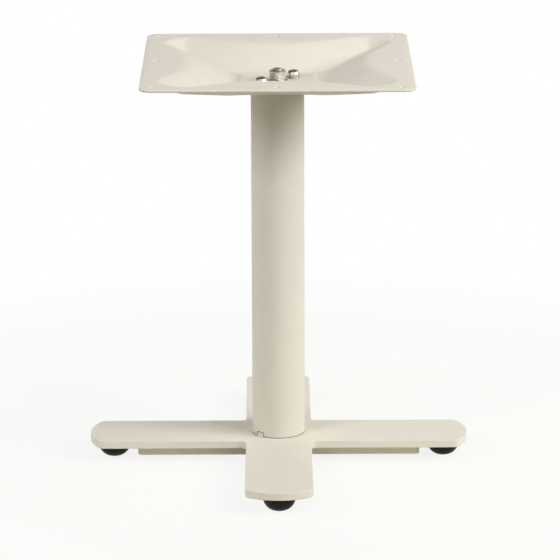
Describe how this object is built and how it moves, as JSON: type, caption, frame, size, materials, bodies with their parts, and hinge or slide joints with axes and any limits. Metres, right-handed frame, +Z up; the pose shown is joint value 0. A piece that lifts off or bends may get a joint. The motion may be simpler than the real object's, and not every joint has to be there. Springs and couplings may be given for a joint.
{
  "type": "four star table base",
  "caption": "Low painted steel table base: dished square top plate with screw holes, round column and a flat cross of arms on domed feet.",
  "frame": {"origin": "middle of the base on the floor, under the column's axis", "axes": "+Z up the column, -Y towards the front arm, +X towards the right arm"},
  "size_m": [0.4318, 0.4318, 0.462],
  "materials": {
    "painted_steel": "matt fine-textured cream powder coat",
    "zinc_steel": "bright zinc plating",
    "black_glide": "fine-grained moulded black"
  },
  "bodies": {
    "root": {"top_plate": "painted_steel", "column_tube": "painted_steel", "column_top_flange": "painted_steel", "locating_disc": "painted_steel", "base_cross_plate": "painted_steel", "stiffener_bar_front": "painted_steel", "stiffener_bar_rear": "painted_steel", "stiffener_bar_left": "painted_steel", "stiffener_bar_right": "painted_steel", "tie_rod": "zinc_steel", "rod_top_nut": "zinc_steel", "rod_top_washer": "zinc_steel", "rod_bottom_nut": "zinc_steel", "rod_bottom_washer": "zinc_steel", "plate_screws": "zinc_steel", "plate_screw_washers": "zinc_steel", "foot_glide_front": "black_glide", "foot_glide_rear": "black_glide", "foot_glide_left": "black_glide", "foot_glide_right": "black_glide", "foot_screws": "zinc_steel"}
  },
  "joints": []
}
